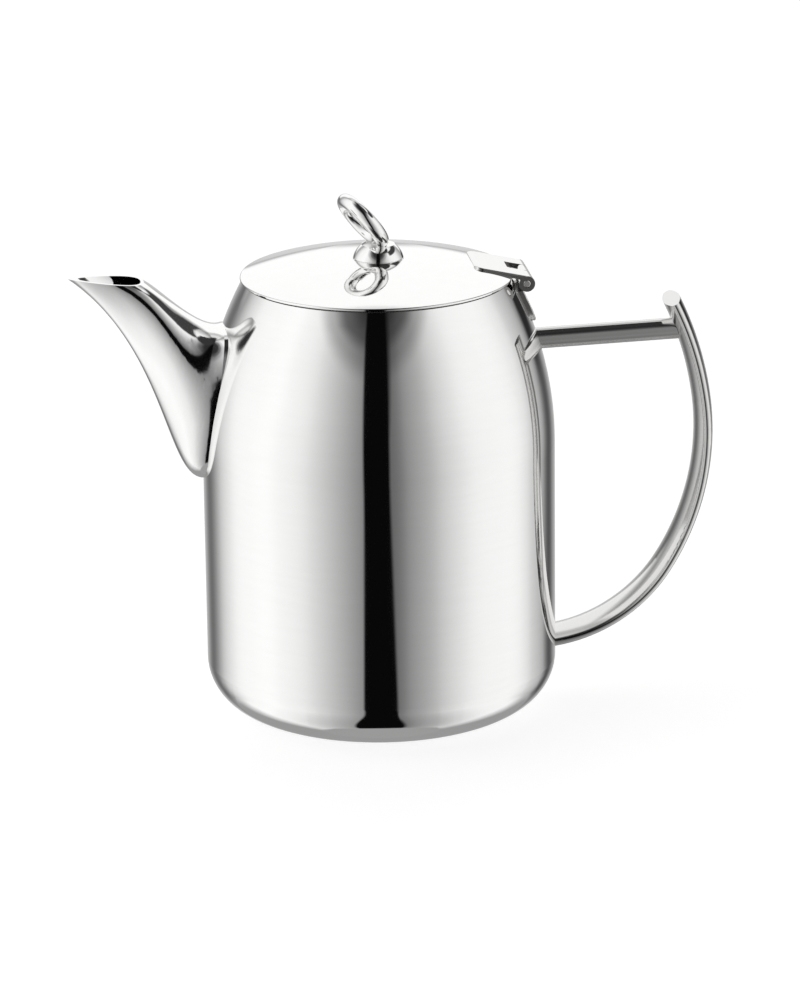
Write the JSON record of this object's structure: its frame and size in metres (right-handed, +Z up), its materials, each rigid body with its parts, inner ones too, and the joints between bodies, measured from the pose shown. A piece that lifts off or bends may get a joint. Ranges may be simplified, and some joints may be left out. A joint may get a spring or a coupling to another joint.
{
  "type": "teapot",
  "caption": "Polished stainless steel teapot with a beak spout, hinged domed lid with a leaning finger ring, and an open bowed handle with a crossbar",
  "frame": {"origin": "centre of the flat base, on the surface the teapot stands on, on the pot's axis", "axes": "+Z up; +X toward the handle and -X toward the spout, along the longest extent; +Y to the left when looking from the pot toward the handle, along the hinge pin"},
  "size_m": [0.2102, 0.115, 0.1723],
  "materials": {
    "pot_steel": "mirror polished stainless steel",
    "spout_steel": "mirror polished stainless steel",
    "handle_steel": "finely brushed stainless steel along the handle",
    "hinge_steel": "polished stainless steel sheet",
    "pin_steel": "polished stainless steel rod",
    "lid_steel": "mirror polished stainless steel",
    "skirt_steel": "satin stainless steel",
    "knob_steel": "polished stainless steel casting",
    "screw_steel": "bright machined stainless steel"
  },
  "bodies": {
    "pot": {"body_shell": "pot_steel", "spout": "spout_steel", "handle_arc": "handle_steel", "handle_end_cap": "handle_steel", "handle_bar": "handle_steel", "hinge_body_leaf": "hinge_steel", "hinge_pin": "pin_steel"},
    "lid": {"lid_plate": "lid_steel", "lid_skirt": "skirt_steel", "hinge_lid_leaf": "hinge_steel", "knob_collar": "knob_steel", "knob_ring": "knob_steel", "knob_screw": "screw_steel"}
  },
  "joints": [
    {"name": "lid_hinge", "type": "hinge", "parent": "pot", "child": "lid", "pos_m": [0.0475, 0, 0.1423], "axis": [0, 1, 0], "range_deg": [0, 105]}
  ]
}
